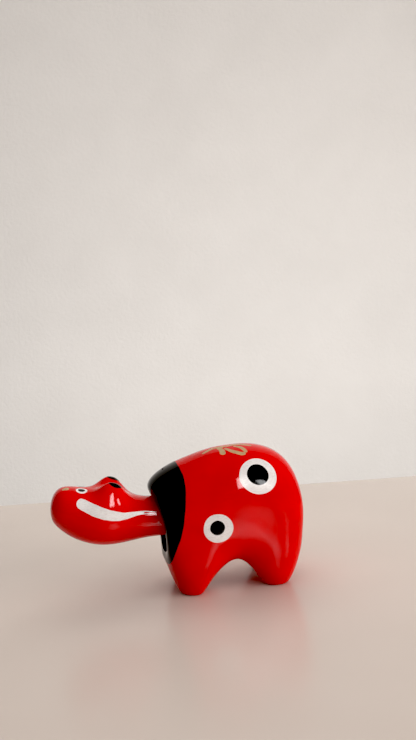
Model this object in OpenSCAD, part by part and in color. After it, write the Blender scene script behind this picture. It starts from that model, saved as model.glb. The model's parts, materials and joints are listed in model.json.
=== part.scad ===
// Akabeko: a papier-mache cow whose weighted head hangs inside the neck opening on one thread.
// The cow faces -X, its left side is -Y, and it stands on Z = 0 with the origin under its middle.

/* [Body] */
// Length of the body, from the collar's bulge to the rump
body_length = 85.4; // [70:0.1:104]
// Width across the flanks
body_width = 52; // [43:0.5:63]
// Height from the soles to the top of the back
body_height = 77.2; // [64:0.1:93]
// Thickness of the body's papier-mache wall
body_wall = 1.5; // [1:0.1:2]

/* [Neck opening] */
// Width of the opening, outside edge to outside edge
opening_width = 33; // [30:0.5:40]
// Height of the opening, from its bottom edge to its top edge
opening_height = 32.5; // [27:0.5:39]
// How far the opening's top edge lies below the top of the back
opening_drop = 22.2; // [20:0.1:27]

/* [Head] */
// Distance from the hanging thread forward to the tip of the snout
head_reach = 63.6; // [53:0.1:77]
// Width across the cheeks
head_width = 32.1; // [28:0.1:39]
// Height of the head without its horns
head_height = 34.4; // [30:0.1:41]
// Thickness of the head's papier-mache wall
head_wall = 1.2; // [0.8:0.1:1.6]
// Height of the horn bumps
horn_height = 5.6; // [4:0.1:7]
// Distance between the two horn bumps
horn_spacing = 18; // [15:0.5:20]

/* [Neck] */
// Gap between the neck and the opening's top edge
neck_gap_top = 2.2; // [2:0.1:4]
// Gap between the neck and the opening's bottom edge
neck_gap_low = 8.5; // [7:0.1:10]
// Gap between the neck and each side of the opening
neck_gap_side = 4.7; // [4:0.1:6]
// How far the neck reaches into the body behind the thread
neck_tail = 22; // [18:0.5:26]

/* [Hanging thread] */
// Diameter of the thread
thread_d = 0.9; // [0.6:0.1:1.2]
// Radial clearance of the thread in the hole through the back
thread_clearance = 0.25; // [0.2:0.05:0.5]
// How far the hole lies behind the opening's top edge
thread_back = 8.6; // [7:0.1:12]
// Diameter of the knots
knot_d = 2.4; // [1.8:0.1:3]
// Inner diameter of the eye tied at the thread's lower end
eye_d = 1.5; // [1.4:0.1:2]
// Width of the ring of thread stitched through the neck
stitch_width = 5; // [4.5:0.5:7]
// Gap between pieces of thread that turn against each other
turn_gap = 0.2; // [0.15:0.05:0.3]

/* [Paper strips] */
// Width of the strips that join the left and right shells
strip_width = 9; // [7:0.5:11]
// Thickness of the strips
strip_wall = 0.3; // [0.2:0.05:0.5]
// Length of the patch under the thread hole
patch_length = 10; // [8:0.5:14]

/* [Clay weight] */
// Length of the clay pressed into the neck's tail
clay_length = 15.1; // [8:0.1:17]
// Thickness of the disc that closes the neck's tail
disc_wall = 0.6; // [0.4:0.1:1]

/* [Hidden] */

$fn = 32;
lacquer_red = [0.78, 0.02, 0.02];
lacquer_black = [0.05, 0.05, 0.05];
bare_paper = [0.86, 0.80, 0.68];
thread_white = [0.88, 0.85, 0.78];
clay_brown = [0.52, 0.40, 0.30];

// ---- Outline of the body ----
// The body is lofted through slanted sections. Each row is
// [top x, top z, low x, low z, half width, rise between the legs, rearward sweep of the sides],
// drawn 85.4 long, 52 wide and 77.2 high with the thread near x = -36, then stretched to size.
drawn_length = 85.4;
drawn_width = 52;
drawn_height = 77.2;
drawn_front = -45.7;
// Half width of the bare belly between the left and right legs
leg_gap = 13;
// Section roundness: 2 is an ellipse, more is boxier
top_roundness = 2.2;
low_roundness = 3.3;
stretch = [body_length / drawn_length, body_height / drawn_height];
opening_top = body_height - opening_drop;
body_rows = [
    [-44.8, opening_top / stretch[1], -39.8, (opening_top - opening_height) / stretch[1],
        opening_width / 2 * drawn_width / body_width, 0, 2.6],
    [-46.4, 59, -40.6, 19.5, 20, 0, 3.6],
    [-43, 64, -40, 15, 22.5, 2, 4.4],
    [-35.8, 68.2, -37.6, 7, 24, 8, 4.6],
    [-26.8, 71.8, -33, -3.6, 25, 15, 4.2],
    [-17.3, 74.8, -25.4, -7.5, 25.6, 19, 3],
    [-8, 76.7, -18.8, 2, 26, 12, 1.5],
    [2, 77.3, -10, 11.6, 26, 3, 0],
    [11.5, 77, 0, 16.4, 26, 0, 0],
    [20.8, 75.4, 8.2, 8.4, 26, 4, 0],
    [29, 71.5, 14, -3.4, 26, 13, 0],
    [34.8, 65, 20.5, -7, 25.4, 19, 0],
    [38.6, 56.8, 27.5, -3, 23.5, 14, 0],
    [39.8, 47, 33, 8, 19.5, 6, 0],
    [39.6, 38, 36.6, 19.5, 11.5, 1, 0],
    [39.4, 29, 39.4, 29, 0, 0, 0],
];
body_end = len(body_rows) - 1;

// ---- Outline of the head ----
// Rows are [top x, top z, low x, low z, half width] from the neck's tail to the snout.
// x is measured forward from the thread, z up from the top of the neck.
neck_width = opening_width - 2 * neck_gap_side;
neck_height = opening_height - neck_gap_top - neck_gap_low;
drawn_reach = 63.6;
drawn_head_width = 32.1;
drawn_head_height = 34.4;
neck_step = 8.7;
neck_rows = [
    for (k = [0 : 3])
        [k * neck_step - neck_tail, 0, k * neck_step - neck_tail, -neck_height, neck_width / 2]
];
face_rows = [
    [11.8, 0.4, 11.8, -21.8, 12],
    [18.8, 2.7, 18.8, -22.5, 13],
    [24.8, 7, 25.8, -23.3, 14.8],
    [30.8, 9, 33.3, -23.6, 16],
    [37.3, 8.4, 40.8, -22.5, 16.2],
    [43.8, 8.8, 47.8, -19.8, 15.2],
    [50.8, 10.4, 54.3, -16.2, 14],
    [56.8, 11, 59.6, -11.6, 12.5],
    [61.6, 7.4, 63.4, -7.4, 9],
    [64, -0.8, 64, -0.8, 0],
];
head_stretch = [head_reach / drawn_reach, head_height / drawn_head_height,
    head_width / drawn_head_width];
head_rows = [
    each neck_rows,
    for (r = face_rows) [
        r[0] * head_stretch[0], r[1] * head_stretch[1],
        r[2] * head_stretch[0], r[3] * head_stretch[1], r[4] * head_stretch[2],
    ],
];
head_end = len(head_rows) - 1;
head_roundness = 2.2;
horn_x = 28.4 * head_stretch[0];
horn_front_slope = 9;
horn_rear_slope = 7.2;
horn_side_slope = 5.4;

// ---- Resolution of the shells ----
row_step = 1 / 2;
body_columns = 15;
head_columns = 11;
// The seam strips stop this many rows before a shell's closed end
strip_stop = 1;
// The shells are drawn this far below the floor, then cut off flat
sole_cut = 20;

// ---- Splines ----
// Row i of a list, with a mirrored or straight-on row beyond each end
function row_at(rows, i) =
    i < 0 ? 2 * rows[0] - rows[1] :
    i < len(rows) ? rows[i] : mirrored_row(rows[len(rows) - 2]);

// Past the closed end the section turns over: top and low swap, and the width turns negative
function mirrored_row(r) =
    [r[2], r[3], r[0], r[1], -r[4], each [for (k = [5 : 1 : len(r) - 1]) k == 5 ? -r[k] : r[k]]];

// Uniform cubic B-spline through the rows
function spline(rows, u) =
    let (i = max(0, min(len(rows) - 2, floor(u))), t = u - i)
    ((1 - t) ^ 3 * row_at(rows, i - 1)
        + (3 * t ^ 3 - 6 * t ^ 2 + 4) * row_at(rows, i)
        + (-3 * t ^ 3 + 3 * t ^ 2 + 3 * t + 1) * row_at(rows, i + 1)
        + t ^ 3 * row_at(rows, i + 2)) / 6;

// Point of a unit superellipse at an angle from the top, as [height, side]
function rounded(a, n) =
    let (r = (abs(cos(a)) ^ n + abs(sin(a)) ^ n) ^ (-1 / n))
    [r * cos(a), r * sin(a)];

// ---- Surfaces, as points at a row u and an angle a from the top ----
function body_point(u, a) =
    let (
        r = spline(body_rows, u),
        low = (1 - cos(a)) / 2,
        s = rounded(a, top_roundness + (low_roundness - top_roundness) * low),
        y = r[4] * s[1],
        between = max(0, 1 - (y / leg_gap) ^ 2) ^ 2 * max(0, -cos(a)),
        x = (r[0] + r[2]) / 2 + s[0] * (r[0] - r[2]) / 2 + r[6] * sin(a) ^ 2,
        z = (r[1] + r[3]) / 2 + s[0] * (r[1] - r[3]) / 2 + max(0, r[5]) * between
    )
    [
        (x - drawn_front) * stretch[0] + body_front,
        y * body_width / drawn_width,
        z * stretch[1],
    ];

function horn_rise(x, y) =
    let (
        along = (x - horn_x) / (x > horn_x ? horn_front_slope : horn_rear_slope),
        across = (abs(y) - horn_spacing / 2) / horn_side_slope
    )
    horn_height * exp(-abs(along) ^ 2.5 - across ^ 2);

function head_point(u, a) =
    let (
        r = spline(head_rows, u),
        s = rounded(a, head_roundness),
        x = (r[0] + r[2]) / 2 + s[0] * (r[0] - r[2]) / 2,
        y = r[4] * s[1],
        z = (r[1] + r[3]) / 2 + s[0] * (r[1] - r[3]) / 2,
        horn = horn_rise(x, y) * min(1, max(0, 3 * cos(a)))
    )
    [thread_x - x, y, neck_top + z + horn];

function surface_point(part, u, a) = part == "body" ? body_point(u, a) : head_point(u, a);

// Inward normal from small steps along the row and around the section
function unit(v) = v / norm(v);
function inward(part, u, a) =
    let (
        last = part == "body" ? body_end : head_end,
        v = min(u, last - 0.02),
        e = 0.01,
        along = surface_point(part, v + e, a) - surface_point(part, max(0, v - e), a),
        around = surface_point(part, v, a + 1) - surface_point(part, v, a - 1)
    )
    unit(cross(around, along)) * (part == "body" ? 1 : -1);

// A point at a depth below the outer surface; a body point below the skin stays above the sole
function skin_point(part, u, a, depth) =
    let (p = surface_point(part, u, a) + depth * inward(part, u, a))
    part == "body" && depth > 0 ? [p[0], p[1], max(depth, p[2])] : p;

// ---- Places ----
// Row of the body whose top lies at x, found by halving
function row_of_x(x, lo, hi, tries) =
    let (mid = (lo + hi) / 2)
    tries == 0 ? mid :
    body_point(mid, 0)[0] < x ? row_of_x(x, mid, hi, tries - 1) : row_of_x(x, lo, mid, tries - 1);

// The opening's top edge lies a little behind the foremost bulge of the collar
edge_back = (body_rows[0][0] - drawn_front) * stretch[0];
// Foremost point of the body, placed so that snout and rump are equally far from X = 0
body_front = (head_reach - body_length - edge_back - thread_back) / 2;
thread_x = body_front + edge_back + thread_back;
neck_top = opening_top - neck_gap_top;
hole_row = row_of_x(thread_x, 1.5, body_end / 2, 24);
hole_top = body_point(hole_row, 0)[2];
// Length of the back between two of the shell's rows at the thread hole
row_length = norm(body_point(hole_row + row_step / 2, 0) - body_point(hole_row - row_step / 2, 0));
// How far the knot on the back stands proud of the lacquer
knot_proud = 0.7;
knot_z = hole_top + knot_proud - knot_d / 2;
// Height of the stitch's top, which the eye holds clear of the neck: the nod's axis
bar_z = neck_top + turn_gap + eye_d / 2 + thread_d;
eye_ring = (eye_d + thread_d) / 2;
eye_z = bar_z + (eye_d - thread_d) / 2 - turn_gap;

// ---- Angles at which a section is divided ----
// The first and last division are the edges of the seam strips
function strip_angle(part, u) =
    let (half = spline(part == "body" ? body_rows : head_rows, u)[4])
    asin(min(0.7, strip_width / 2 / max(half, 0.01)));
function half_angles(part, u) =
    let (s = strip_angle(part, u), n = part == "body" ? body_columns : head_columns)
    [0, for (k = [0 : n]) s + (180 - 2 * s) * k / n, 180];
function ring_angles(part, u) =
    let (h = half_angles(part, u), n = len(h))
    [each h, for (k = [n - 2 : -1 : 1]) -h[k]];
function strip_angles(part, u, middle) =
    let (s = strip_angle(part, u))
    [middle - s, middle, middle + s];

// ---- Solids swept over the surfaces ----
// Splits a four-sided patch into two triangles; the left side is split as the right's mirror image
function patch(a, b, c, d, left = false) =
    left ? [[b, c, d], [b, d, a]] : [[a, b, c], [a, c, d]];

// Skin between two depths over a list of rows and, at each row, a list of angles.
// With closed = true the last row is the shell's closed end and becomes one point.
module skin(part, us, angles, outer, inner, closed = false) {
    rows = closed ? len(us) - 1 : len(us);
    n = len(angles(us[0]));
    last = us[len(us) - 1];
    grid = function(depth) [
        for (i = [0 : rows - 1]) for (a = angles(us[i])) skin_point(part, us[i], a, depth),
    ];
    tip = function(depth)
        (skin_point(part, last, 0, depth) + skin_point(part, last, 180, depth)) / 2;
    o = function(i, j) i * n + j;
    q = function(i, j) (rows + i) * n + j;
    p = 2 * rows * n;
    e = rows - 1;
    m = n - 1;
    left = [for (j = [0 : m - 1]) sin((angles(us[0])[j] + angles(us[0])[j + 1]) / 2) < 0];
    faces = [
        for (i = [0 : e - 1]) for (j = [0 : m - 1]) each [
            each patch(o(i, j), o(i, j + 1), o(i + 1, j + 1), o(i + 1, j), left[j]),
            each patch(q(i, j), q(i + 1, j), q(i + 1, j + 1), q(i, j + 1), left[j]),
        ],
        for (j = [0 : m - 1]) each patch(o(0, j + 1), o(0, j), q(0, j), q(0, j + 1)),
        for (i = [0 : e - 1]) each [
            each patch(o(i, 0), o(i + 1, 0), q(i + 1, 0), q(i, 0)),
            each patch(o(i + 1, m), o(i, m), q(i, m), q(i + 1, m)),
        ],
        if (!closed) for (j = [0 : m - 1])
            each patch(o(e, j), o(e, j + 1), q(e, j + 1), q(e, j)),
        if (closed) for (j = [0 : m - 1]) each [
            [o(e, j), o(e, j + 1), p],
            [q(e, j), p + 1, q(e, j + 1)],
        ],
        if (closed) each [
            each patch(o(e, 0), p, p + 1, q(e, 0)),
            each patch(p, o(e, m), q(e, m), p + 1),
        ],
    ];
    polyhedron(
        points = [each grid(outer), each grid(inner), tip(outer), tip(inner)],
        faces = part == "body" ? faces : [for (f = faces) [f[2], f[1], f[0]]],
        convexity = 8
    );
}

// Half of a shell: the +Y side, from the open end to the closed end
module half_shell(part, wall) {
    last = part == "body" ? body_end : head_end;
    skin(part, [for (u = [0 : row_step : last]) u], function(u) half_angles(part, u), 0, wall, true);
}

// A strip of paper inside the wall, along the seam over the top (0) or underneath (180)
module seam_strip(part, wall, middle, from, to) {
    skin(part, [for (u = [from : row_step : to]) u],
        function(u) strip_angles(part, u, middle), wall, wall + strip_wall);
}

// A plug that fills the neck's straight tail between two places and below a depth
module neck_plug(x0, x1, depth) {
    outline = [for (a = ring_angles("head", 0)) skin_point("head", 0, a, depth)];
    translate([x0, 0, 0])
        rotate([90, 0, 90])
            linear_extrude(x1 - x0)
                polygon([for (p = outline) [p[1], p[2]]]);
}

// ---- Body ----
module thread_hole() {
    translate([thread_x, 0, neck_top])
        cylinder(d = thread_d + 2 * thread_clearance, h = body_height - neck_top);
}

module body_half() {
    difference() {
        half_shell("body", body_wall);
        translate([-body_length, -body_width, -sole_cut])
            cube([2 * body_length, 2 * body_width, sole_cut]);
        thread_hole();
        translate([thread_x, 0, knot_z])
            sphere(d = knot_d);
    }
}

module body_right_shell() {
    color(lacquer_red) body_half();
}

module body_left_shell() {
    color(lacquer_red) mirror([0, 1, 0]) body_half();
}

module back_seam_strip() {
    color(bare_paper) difference() {
        seam_strip("body", body_wall, 0, 0, body_end - strip_stop);
        thread_hole();
    }
}

module belly_seam_strip() {
    color(bare_paper) seam_strip("body", body_wall, 180, 0, body_end - strip_stop);
}

// Paper bound over the cut edge of the opening: a half-round bead on the shells' front edge
module opening_rim_binding() {
    arc_steps = 4;
    loop = ring_angles("body", 0);
    n = len(loop);
    m = arc_steps + 1;
    points = [
        for (a = loop)
            let (
                edge = skin_point("body", 0, a, 0),
                inside = skin_point("body", 0, a, body_wall),
                middle = (edge + inside) / 2,
                r = (edge - inside) / 2,
                ahead = norm(r) * unit(surface_point("body", 0, a) - surface_point("body", 0.01, a))
            )
            for (k = [0 : arc_steps])
                let (turn = 180 * k / arc_steps)
                middle + r * cos(turn) + ahead * sin(turn),
    ];
    faces = [
        for (i = [0 : n - 1]) for (k = [0 : m - 1])
            let (i2 = (i + 1) % n, k2 = (k + 1) % m)
            each patch(i * m + k, i * m + k2, i2 * m + k2, i2 * m + k, i >= n / 2),
    ];
    color(lacquer_black) polyhedron(points = points, faces = faces, convexity = 6);
}

// A second layer under the back strip; its rows are the shell's own, so that it lies flat on it
module thread_hole_patch() {
    middle = round(hole_row / row_step) * row_step;
    reach = max(1, round(patch_length / 2 / row_length)) * row_step;
    color(bare_paper) difference() {
        skin("body", [for (u = [middle - reach : row_step : middle + reach]) u],
            function(u) strip_angles("body", u, 0),
            body_wall + strip_wall, body_wall + 2 * strip_wall);
        thread_hole();
    }
}

// ---- Thread ----
module back_knot() {
    color(lacquer_black) translate([thread_x, 0, knot_z])
        sphere(d = knot_d);
}

module hanging_thread() {
    low = eye_z + eye_ring + thread_d / 2 + turn_gap;
    high = knot_z - knot_d / 2 - turn_gap;
    color(thread_white) translate([thread_x, 0, low])
        cylinder(d = thread_d, h = high - low);
}

module thread_eye() {
    color(thread_white) translate([thread_x, 0, eye_z])
        rotate([90, 0, 0])
            rotate_extrude()
                translate([eye_ring, 0])
                    circle(d = thread_d);
}

// The stitch is a closed ring of thread through the top of the neck
module stitch_ring() {
    translate([thread_x, 0, bar_z - stitch_width / 2])
        rotate([0, 90, 0])
            rotate_extrude()
                translate([stitch_width / 2, 0])
                    circle(d = thread_d);
}

module neck_stitch() {
    color(thread_white) {
        stitch_ring();
        translate([thread_x, 0, bar_z - stitch_width])
            sphere(d = knot_d);
    }
}

// ---- Head and neck ----
module head_half() {
    difference() {
        half_shell("head", head_wall);
        stitch_ring();
    }
}

module head_right_shell() {
    color(lacquer_red) head_half();
}

module head_left_shell() {
    color(lacquer_red) mirror([0, 1, 0]) head_half();
}

// The first of the shell's rows in front of the clay, where the strips begin
strip_row = ceil(clay_length / neck_step / row_step) * row_step;

module crown_seam_strip() {
    color(bare_paper) difference() {
        seam_strip("head", head_wall, 0, strip_row, head_end - strip_stop);
        stitch_ring();
    }
}

module chin_seam_strip() {
    color(bare_paper) seam_strip("head", head_wall, 180, strip_row, head_end - strip_stop);
}

module clay_weight() {
    color(clay_brown)
        neck_plug(thread_x + neck_tail - clay_length, thread_x + neck_tail, head_wall);
}

module neck_end_disc() {
    color(bare_paper)
        neck_plug(thread_x + neck_tail, thread_x + neck_tail + disc_wall, 0);
}

body_left_shell();
body_right_shell();
back_seam_strip();
belly_seam_strip();
opening_rim_binding();
thread_hole_patch();
back_knot();
hanging_thread();
thread_eye();
neck_stitch();
head_left_shell();
head_right_shell();
crown_seam_strip();
chin_seam_strip();
clay_weight();
neck_end_disc();
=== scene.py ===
"""Akabeko: a red lacquered papier-mache cow whose weighted head bobs on a thread."""
import json
import math

import bpy
import numpy as np
from mathutils import Matrix, Vector

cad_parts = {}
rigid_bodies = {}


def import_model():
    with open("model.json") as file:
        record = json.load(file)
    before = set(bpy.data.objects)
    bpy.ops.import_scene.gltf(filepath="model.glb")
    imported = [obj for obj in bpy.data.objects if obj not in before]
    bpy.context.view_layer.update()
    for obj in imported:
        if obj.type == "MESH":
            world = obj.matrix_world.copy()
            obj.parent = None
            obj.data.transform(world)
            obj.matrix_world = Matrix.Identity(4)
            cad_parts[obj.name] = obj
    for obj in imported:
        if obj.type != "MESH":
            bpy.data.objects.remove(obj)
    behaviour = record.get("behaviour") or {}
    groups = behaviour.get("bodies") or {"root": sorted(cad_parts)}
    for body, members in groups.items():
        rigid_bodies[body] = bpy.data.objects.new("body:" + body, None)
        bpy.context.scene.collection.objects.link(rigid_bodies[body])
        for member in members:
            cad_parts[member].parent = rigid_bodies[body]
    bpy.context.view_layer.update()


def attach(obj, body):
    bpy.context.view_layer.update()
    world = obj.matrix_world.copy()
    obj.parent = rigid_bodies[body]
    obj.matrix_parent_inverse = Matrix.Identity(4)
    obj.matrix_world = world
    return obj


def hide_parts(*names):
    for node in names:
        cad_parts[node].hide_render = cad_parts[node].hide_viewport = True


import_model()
scene = bpy.context.scene
MM = 0.001


# ---------------------------------------------------------------- outline of the cow, in mm
# [top x, top z, low x, low z, half width, rise between the legs, rearward sweep]
FRONT = 30.05
BODY = np.array([
    [-44.8, 55.0, -39.8, 22.5, 16.5, 0, 2.6],
    [-46.4, 59.0, -40.6, 19.5, 20.0, 0, 3.6],
    [-43.0, 64.0, -40.0, 15.0, 22.5, 2, 4.4],
    [-35.8, 68.2, -37.6, 7.0, 24.0, 8, 4.6],
    [-26.8, 71.8, -33.0, -3.6, 25.0, 15, 4.2],
    [-17.3, 74.8, -25.4, -7.5, 25.6, 19, 3.0],
    [-8.0, 76.7, -18.8, 2.0, 26.0, 12, 1.5],
    [2.0, 77.3, -10.0, 11.6, 26.0, 3, 0],
    [11.5, 77.0, 0.0, 16.4, 26.0, 0, 0],
    [20.8, 75.4, 8.2, 8.4, 26.0, 4, 0],
    [29.0, 71.5, 14.0, -3.4, 26.0, 13, 0],
    [34.8, 65.0, 20.5, -7.0, 25.4, 19, 0],
    [38.6, 56.8, 27.5, -3.0, 23.5, 14, 0],
    [39.8, 47.0, 33.0, 8.0, 19.5, 6, 0],
    [39.6, 38.0, 36.6, 19.5, 11.5, 1, 0],
    [39.4, 29.0, 39.4, 29.0, 0.0, 0, 0],
])
BODY[:, [0, 2]] += FRONT
THREAD_X = -6.15
NECK_TOP = 52.8
BODY_WALL = 1.5
HEAD_WALL = 1.2
NECK_TAIL = 22
CLAY_LENGTH = 15.1
# [top x, top z, low x, low z, half width], x forward from the thread, z up from the neck's top
HEAD = np.array(
    [[k * 8.7 - NECK_TAIL, 0, k * 8.7 - NECK_TAIL, -21.8, 11.8] for k in range(4)] + [
        [11.8, 0.4, 11.8, -21.8, 12.0],
        [18.8, 2.7, 18.8, -22.5, 13.0],
        [24.8, 7.0, 25.8, -23.3, 14.8],
        [30.8, 9.0, 33.3, -23.6, 16.0],
        [37.3, 8.4, 40.8, -22.5, 16.2],
        [43.8, 8.8, 47.8, -19.8, 15.2],
        [50.8, 10.4, 54.3, -16.2, 14.0],
        [56.8, 11.0, 59.6, -11.6, 12.5],
        [61.6, 7.4, 63.4, -7.4, 9.0],
        [64.0, -0.8, 64.0, -0.8, 0.0],
    ])
BODY_END = len(BODY) - 1
HEAD_END = len(HEAD) - 1


def spline(rows, u):
    """Uniform cubic B-spline through the rows; past the closed end the section turns over."""
    last = rows[-2]
    over = np.concatenate([last[[2, 3, 0, 1]], -last[4:6], last[6:]])
    p = np.vstack([2 * rows[0] - rows[1], rows, over, over])
    i = np.clip(np.floor(u).astype(int), 0, len(rows) - 2)
    t = (u - i)[..., None]
    return ((1 - t) ** 3 * p[i] + (3 * t ** 3 - 6 * t ** 2 + 4) * p[i + 1]
            + (-3 * t ** 3 + 3 * t ** 2 + 3 * t + 1) * p[i + 2] + t ** 3 * p[i + 3]) / 6


def rounded(a, n):
    """Unit superellipse of power n: up and sideways at angle a from the top."""
    r = (np.abs(np.cos(a)) ** n + np.abs(np.sin(a)) ** n) ** (-1 / n)
    return r * np.cos(a), r * np.sin(a)


# Slow hand-made unevenness of the pasted paper: a few waves in random directions
def make_waves(seed, shortest, longest, count, height):
    rng = np.random.default_rng(seed)
    d = rng.normal(size=(count, 3))
    d /= np.linalg.norm(d, axis=1)[:, None]
    length = rng.uniform(shortest, longest, count)
    return d * (2 * np.pi / length)[:, None], rng.uniform(0, 2 * np.pi, count), height


WAVES = {"body": make_waves(4, 15, 38, 9, 0.055), "head": make_waves(9, 10, 26, 8, 0.045)}


def unevenness(part, p):
    """Height of the lacquer over the smooth outline, in mm."""
    k, phase, height = WAVES[part]
    return height * np.sin(p @ k.T + phase).sum(-1)


def body_base(u, a):
    """Smooth outline of the body at row u and angle a from the top; a > 0 is the right side."""
    r = spline(BODY, u)
    low = (1 - np.cos(a)) / 2
    s0, s1 = rounded(a, 2.2 + 1.1 * low)
    y = r[..., 4] * s1
    between = np.clip(1 - (y / 13) ** 2, 0, None) ** 2 * np.clip(-np.cos(a), 0, None)
    x = (r[..., 0] + r[..., 2]) / 2 + s0 * (r[..., 0] - r[..., 2]) / 2 + r[..., 6] * np.sin(a) ** 2
    z = (r[..., 1] + r[..., 3]) / 2 + s0 * (r[..., 1] - r[..., 3]) / 2
    z = z + np.clip(r[..., 5], 0, None) * between
    return np.stack([x, y, z], -1)


def head_base(u, a):
    """Smooth outline of the head and neck, with the two horn bumps."""
    r = spline(HEAD, u)
    s0, s1 = rounded(a, 2.2)
    x = (r[..., 0] + r[..., 2]) / 2 + s0 * (r[..., 0] - r[..., 2]) / 2
    y = r[..., 4] * s1
    z = (r[..., 1] + r[..., 3]) / 2 + s0 * (r[..., 1] - r[..., 3]) / 2
    along = (x - 28.4) / np.where(x > 28.4, 9, 7.2)
    across = (np.abs(y) - 9) / 5.4
    horn = 5.6 * np.exp(-np.abs(along) ** 2.5 - across ** 2) * np.clip(3 * np.cos(a), 0, 1)
    return np.stack([THREAD_X - x, y, NECK_TOP + z + horn], -1)


BASE = {"body": body_base, "head": head_base}
END = {"body": BODY_END, "head": HEAD_END}
SIGN = {"body": -1, "head": 1}


def base_normal(part, f, u, a):
    v = np.minimum(u, END[part] - 0.03)
    w = np.maximum(v - 0.01, 0)
    along = f(v + 0.01, a) - f(w, a)
    around = f(v, a + 0.01) - f(v, a - 0.01)
    n = np.cross(around, along) * SIGN[part]
    return n / np.maximum(np.linalg.norm(n, axis=-1, keepdims=True), 1e-12)


def outer(part, u, a):
    """Lacquered surface: the outline, its unevenness, and soles worn flat with a soft edge."""
    f = BASE[part]
    p = f(u, a)
    p = p + base_normal(part, f, u, a) * unevenness(part, p)[..., None]
    if part == "body":
        z = p[..., 2]
        p[..., 2] = np.where(z < 4, (z + np.sqrt(z * z + 0.25)) / 2 - 0.0155, z)
        p[..., 2] = np.maximum(p[..., 2], 0)
    return p


def outer_normal(part, u, a):
    return base_normal(part, lambda v, b: outer(part, v, b), u, a)


def inner(part, u, a, depth):
    """Bare inside of the wall."""
    f = BASE[part]
    p = f(u, a) - base_normal(part, f, u, a) * depth
    if part == "body":
        p[..., 2] = np.maximum(p[..., 2], depth)
    return p


# ---------------------------------------------------------------- mesh helpers
def add_piece(name, verts, faces, mats, body, replaces, normals=None, face_mats=None):
    """Mesh in mm that rides on a body; normals are one per vertex."""
    mesh = bpy.data.meshes.new(name)
    mesh.from_pydata((np.asarray(verts) * MM).tolist(), [], faces)
    for m in mats:
        mesh.materials.append(m)
    if face_mats is not None:
        mesh.polygons.foreach_set("material_index", np.asarray(face_mats, dtype=np.int32))
    mesh.polygons.foreach_set("use_smooth", np.ones(len(mesh.polygons), dtype=bool))
    mesh.validate()
    if normals is not None:
        mesh.normals_split_custom_set_from_vertices(np.asarray(normals).tolist())
    mesh.update()
    obj = bpy.data.objects.new(name, mesh)
    scene.collection.objects.link(obj)
    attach(obj, body)
    if replaces:
        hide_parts(*replaces)


def quads(rows, cols, start=0, flip=False, wrap=False):
    """Faces of a grid of vertices, closed round its columns if it wraps."""
    out = []
    for i in range(rows - 1):
        for j in range(cols if wrap else cols - 1):
            j2 = (j + 1) % cols
            q = [start + i * cols + j, start + i * cols + j2,
                 start + (i + 1) * cols + j2, start + (i + 1) * cols + j]
            out.append(q[::-1] if flip else q)
    return out


def tube(path, radius, sides=10, closed=False):
    """Vertices and faces of a tube along a path; radius may vary along it."""
    path = np.asarray(path, float)
    n = len(path)
    radius = np.broadcast_to(np.asarray(radius, float), n)
    if closed:
        t = np.roll(path, -1, 0) - np.roll(path, 1, 0)
    else:
        t = np.gradient(path, axis=0)
    t /= np.linalg.norm(t, axis=1)[:, None]
    ref = np.array([0.31, 0.22, 0.92])
    ref /= np.linalg.norm(ref)
    normal = np.cross(t[0], ref)
    frames = []
    for k in range(n):
        normal = normal - t[k] * (normal @ t[k])
        normal /= np.linalg.norm(normal)
        frames.append((normal, np.cross(t[k], normal)))
    twist = 0.0
    if closed:
        last = frames[-1][0] - t[0] * (frames[-1][0] @ t[0])
        last /= np.linalg.norm(last)
        twist = math.atan2(np.cross(last, frames[0][0]) @ t[0], last @ frames[0][0])
    verts = []
    for k in range(n):
        e1, e2 = frames[k]
        ang = np.arange(sides) * 2 * np.pi / sides + twist * k / n
        verts.append(path[k] + radius[k] * (np.cos(ang)[:, None] * e1 + np.sin(ang)[:, None] * e2))
    verts = np.concatenate(verts)
    faces = quads(n, sides, wrap=True)
    if closed:
        base = (n - 1) * sides
        for j in range(sides):
            j2 = (j + 1) % sides
            faces.append([base + j, base + j2, j2, j])
    else:
        faces.append(list(range(sides))[::-1])
        faces.append([(n - 1) * sides + j for j in range(sides)])
    return verts, faces


def join(parts):
    """One set of vertices and faces from several."""
    verts, faces, start = [], [], 0
    for v, f in parts:
        verts.append(v)
        faces += [[i + start for i in q] for q in f]
        start += len(v)
    return np.concatenate(verts), faces


# ---------------------------------------------------------------- materials
def new_material(name):
    mat = bpy.data.materials.new(name)
    mat.use_nodes = True
    nt = mat.node_tree
    bsdf = nt.nodes["Principled BSDF"]
    return mat, nt, bsdf


def node(nt, kind, **values):
    n = nt.nodes.new(kind)
    for key, value in values.items():
        if hasattr(n, key):
            setattr(n, key, value)
        else:
            n.inputs[key.replace("_", " ")].default_value = value
    return n


def coords(nt, stretch=(1, 1, 1)):
    tc = nt.nodes.new("ShaderNodeTexCoord")
    mp = nt.nodes.new("ShaderNodeMapping")
    mp.inputs["Scale"].default_value = stretch
    nt.links.new(tc.outputs["Object"], mp.inputs["Vector"])
    return mp.outputs["Vector"]


def noise(nt, vec, size_mm, detail=3.0, roughness=0.55, distortion=0.0):
    n = node(nt, "ShaderNodeTexNoise", Scale=1000.0 / size_mm, Detail=detail, Roughness=roughness,
             Distortion=distortion)
    nt.links.new(vec, n.inputs["Vector"])
    return n.outputs["Fac"]


def ramp(nt, fac, stops, mode="LINEAR"):
    r = nt.nodes.new("ShaderNodeValToRGB")
    r.color_ramp.interpolation = mode
    els = r.color_ramp.elements
    while len(els) < len(stops):
        els.new(0.5)
    for e, (pos, col) in zip(els, stops):
        e.position = pos
        e.color = (*col, 1) if len(col) == 3 else col
    nt.links.new(fac, r.inputs["Fac"])
    return r.outputs["Color"]


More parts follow.
